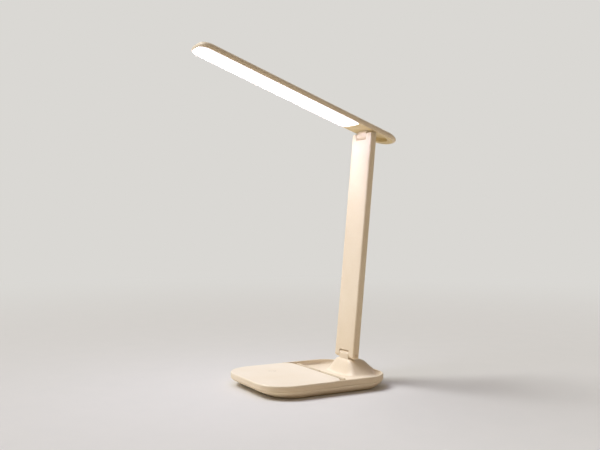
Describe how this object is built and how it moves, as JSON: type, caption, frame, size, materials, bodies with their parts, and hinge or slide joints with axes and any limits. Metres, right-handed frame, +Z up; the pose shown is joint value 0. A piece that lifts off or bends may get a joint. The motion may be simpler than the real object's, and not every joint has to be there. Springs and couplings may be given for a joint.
{
  "type": "folding LED desk lamp",
  "caption": "Slim edge-lit light bar hinged on a flat folding stem, over a low rounded base with a touch plate and a sunken device trough.",
  "frame": {"origin": "middle of the flat face that rests on the table, under the centre of the base", "axes": "+Z up, -Y the way the light bar points, +X to the right of someone who faces the front of the lamp: both hinge axes run along X"},
  "size_m": [0.112, 0.2266, 0.3325],
  "materials": {
    "cream": "satin moulded cream plastic",
    "cream_shade": "matte moulded cream plastic",
    "cream_cast": "satin cream paint",
    "silicone": "soft matte",
    "steel": "plain",
    "copper": "bare copper foil",
    "cell_wrap": "film wrap",
    "board_green": "solder mask",
    "chip_black": "matte",
    "wire_white": "matte",
    "opal": "opal, lit",
    "acrylic": "clear acrylic",
    "board_white": "matte white",
    "phosphor": "phosphor"
  },
  "bodies": {
    "base": {"lower_housing": "cream_shade", "upper_housing": "cream", "touch_plate": "cream", "touch_sensor": "copper", "stop_ribs": "silicone", "anti_slip_pad": "silicone", "counterweight": "steel", "battery": "cell_wrap", "control_board": "board_green", "board_parts": "chip_black", "usb_board": "board_green", "usb_socket": "steel", "housing_screws": "steel", "hinge_post": "cream_cast", "post_screws": "steel", "base_wire": "wire_white"},
    "stem": {"base_hinge_pin": "steel", "base_washers": "steel", "base_pin_caps": "cream_shade", "stem_shell": "cream", "stem_rear_cover": "cream_shade", "stem_spine": "steel", "spine_screws": "steel", "stem_wire": "wire_white", "head_hinge_pin": "steel", "head_washers": "steel", "head_pin_caps": "cream_shade"},
    "head": {"head_shell": "cream", "tail_cover": "cream_shade", "head_knuckle": "cream_cast", "knuckle_screws": "steel", "diffuser": "opal", "light_guide": "acrylic", "reflector_sheet": "board_white", "led_strips": "board_white", "leds": "phosphor", "head_wire": "wire_white"}
  },
  "joints": [
    {"name": "stem_fold", "type": "hinge", "parent": "base", "child": "stem", "pos_m": [0, 0.0487, 0.0276], "axis": [1, 0, 0], "range_deg": [-14.4, 95.56]},
    {"name": "head_fold", "type": "hinge", "parent": "stem", "child": "head", "pos_m": [0, 0.07087, 0.25532], "axis": [1, 0, 0], "range_deg": [-76.28, 103.72]}
  ]
}
